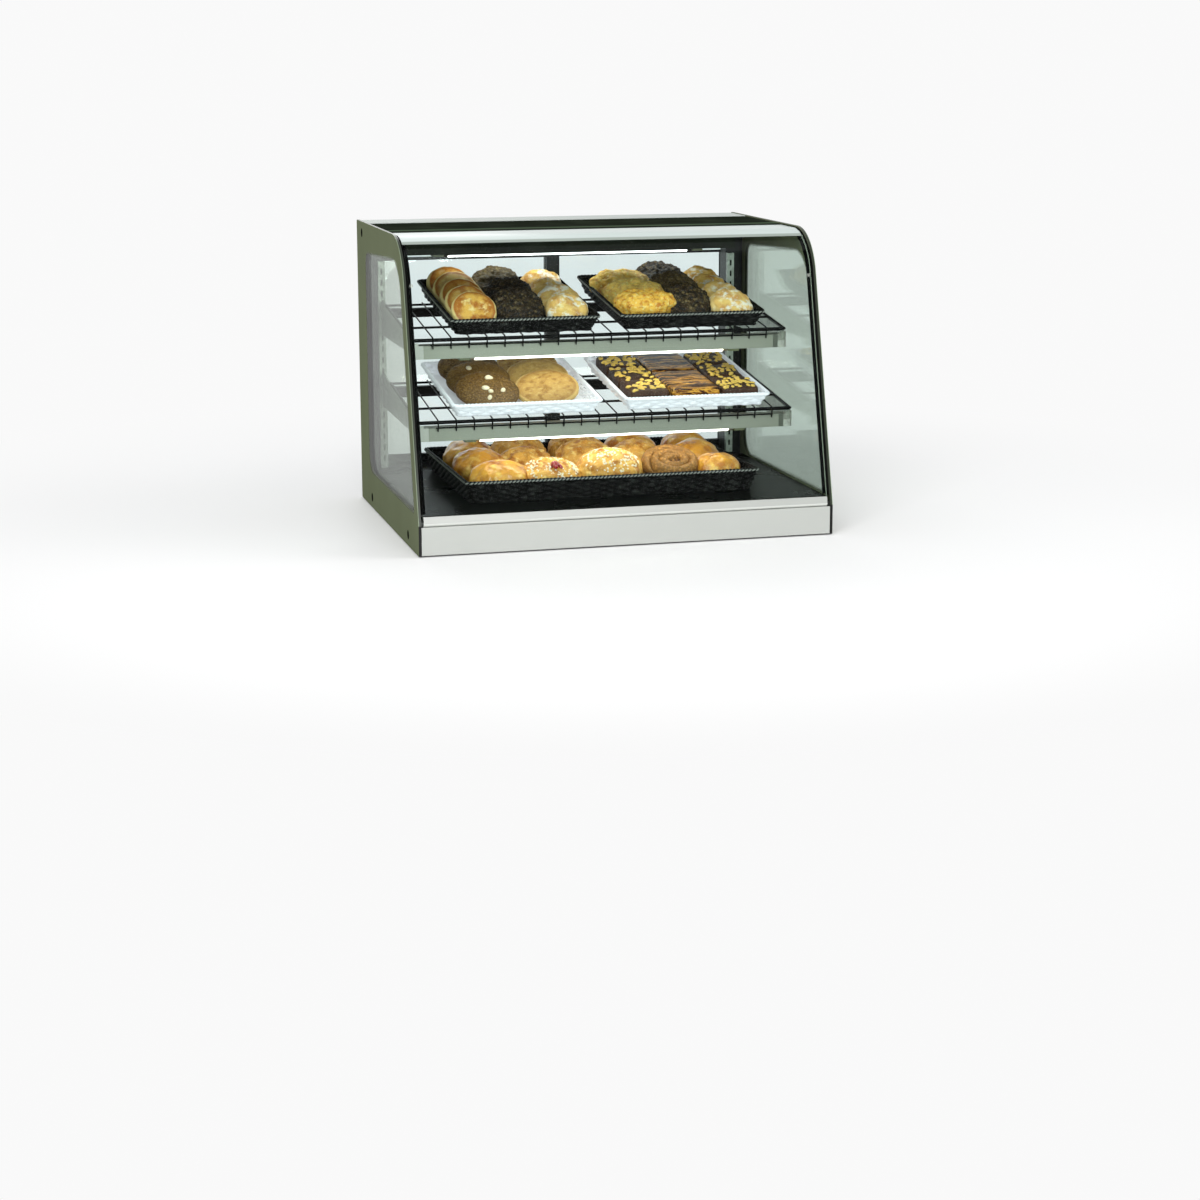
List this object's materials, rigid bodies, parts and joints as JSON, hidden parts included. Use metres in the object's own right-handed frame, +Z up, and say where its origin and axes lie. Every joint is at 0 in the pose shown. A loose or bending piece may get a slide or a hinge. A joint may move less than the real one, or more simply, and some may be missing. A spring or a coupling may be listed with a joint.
{
  "type": "countertop bakery display case",
  "caption": "Countertop bakery display case with a tilting bent front glass, tilted lit wire racks with filled bread baskets, and sliding rear doors.",
  "frame": {"origin": "middle of the footprint, on the counter surface under the pads", "axes": "+X to the right along the width, -Y towards the bent front glass (customer's side), +Z up; the sliding doors are at +Y"},
  "size_m": [0.9144, 0.7112, 0.6528],
  "materials": {
    "case_glass": "polished clear glass",
    "door_glass": "clear glass",
    "pale_enamel": "satin pale grey enamel",
    "black_enamel": "satin black enamel",
    "black_wire": "black coated wire",
    "brushed_rail": "brushed",
    "zinc_steel": "zinc plated",
    "satin_cover": "satin pale grey",
    "black_rubber": "matte",
    "black_plastic": "matte",
    "clear_plastic": "clear moulded plastic, shown by glass",
    "olive_plastic": "matte",
    "lamp_glow": "lit white tube",
    "black_wicker": "woven black plastic cane",
    "white_wicker": "woven white plastic cane",
    "golden_crust": "baked crust",
    "brown_crust": "baked crust"
  },
  "bodies": {
    "case": {"left_side_pane": "case_glass", "right_side_pane": "case_glass", "front_fascia": "pale_enamel", "base_pan": "black_enamel", "deck_panel": "black_enamel", "deck_supports": "black_enamel", "top_panel": "black_enamel", "left_corner_post": "black_enamel", "right_corner_post": "black_enamel", "door_sill": "black_enamel", "door_header": "black_enamel", "canopy_light_rail": "black_enamel", "canopy_hangers": "black_enamel", "ballast_box": "black_enamel", "upper_rear_bar": "black_enamel", "middle_rear_bar": "black_enamel", "pivot_brackets": "black_enamel", "upper_wire_rack": "black_wire", "middle_wire_rack": "black_wire", "upper_light_rail": "brushed_rail", "middle_light_rail": "brushed_rail", "upper_shelf_brackets": "brushed_rail", "middle_shelf_brackets": "brushed_rail", "slotted_standards": "zinc_steel", "side_pane_screws": "zinc_steel", "rear_top_cover": "satin_cover", "top_trim": "satin_cover", "left_edge_seal": "black_rubber", "right_edge_seal": "black_rubber", "rubber_pads": "black_rubber", "switch_housing": "black_plastic", "cord_inlet": "black_plastic", "lamp_wiring": "black_plastic", "rail_end_caps": "clear_plastic", "lampholders": "olive_plastic", "upper_lamp": "lamp_glow", "middle_lamp": "lamp_glow", "canopy_lamp": "lamp_glow", "upper_left_basket": "black_wicker", "upper_right_basket": "black_wicker", "deck_basket": "black_wicker", "middle_left_basket": "white_wicker", "middle_right_basket": "white_wicker", "upper_left_rolls": "golden_crust", "upper_right_rolls": "golden_crust", "deck_buns": "golden_crust", "middle_left_cookies": "brown_crust", "middle_right_bar_cakes": "brown_crust"},
    "front_glass_assembly": {"front_glass": "case_glass", "front_glass_rail": "pale_enamel", "glazing_channel": "black_rubber", "pivot_pins": "zinc_steel", "glass_bumpers": "clear_plastic"},
    "left_door": {"left_door_frame": "black_enamel", "left_door_pane": "door_glass", "left_door_pull": "black_plastic"},
    "right_door": {"right_door_frame": "black_enamel", "right_door_pane": "door_glass", "right_door_pull": "black_plastic"},
    "light_switch": {"light_switch_rocker": "black_plastic"}
  },
  "joints": [
    {"name": "front_glass_tilt", "type": "hinge", "parent": "case", "child": "front_glass_assembly", "pos_m": [0, -0.34714, 0.0695], "axis": [1, 0, 0], "range_deg": [0, 35]},
    {"name": "left_door_slide", "type": "slide", "parent": "case", "child": "left_door", "axis": [1, 0, 0], "range_m": [0, 0.43]},
    {"name": "right_door_slide", "type": "slide", "parent": "case", "child": "right_door", "axis": [-1, 0, 0], "range_m": [0, 0.43]},
    {"name": "light_switch_rock", "type": "hinge", "parent": "case", "child": "light_switch", "pos_m": [0.38, 0.3474, 0.042], "axis": [1, 0, 0], "range_deg": [-10, 10]}
  ]
}
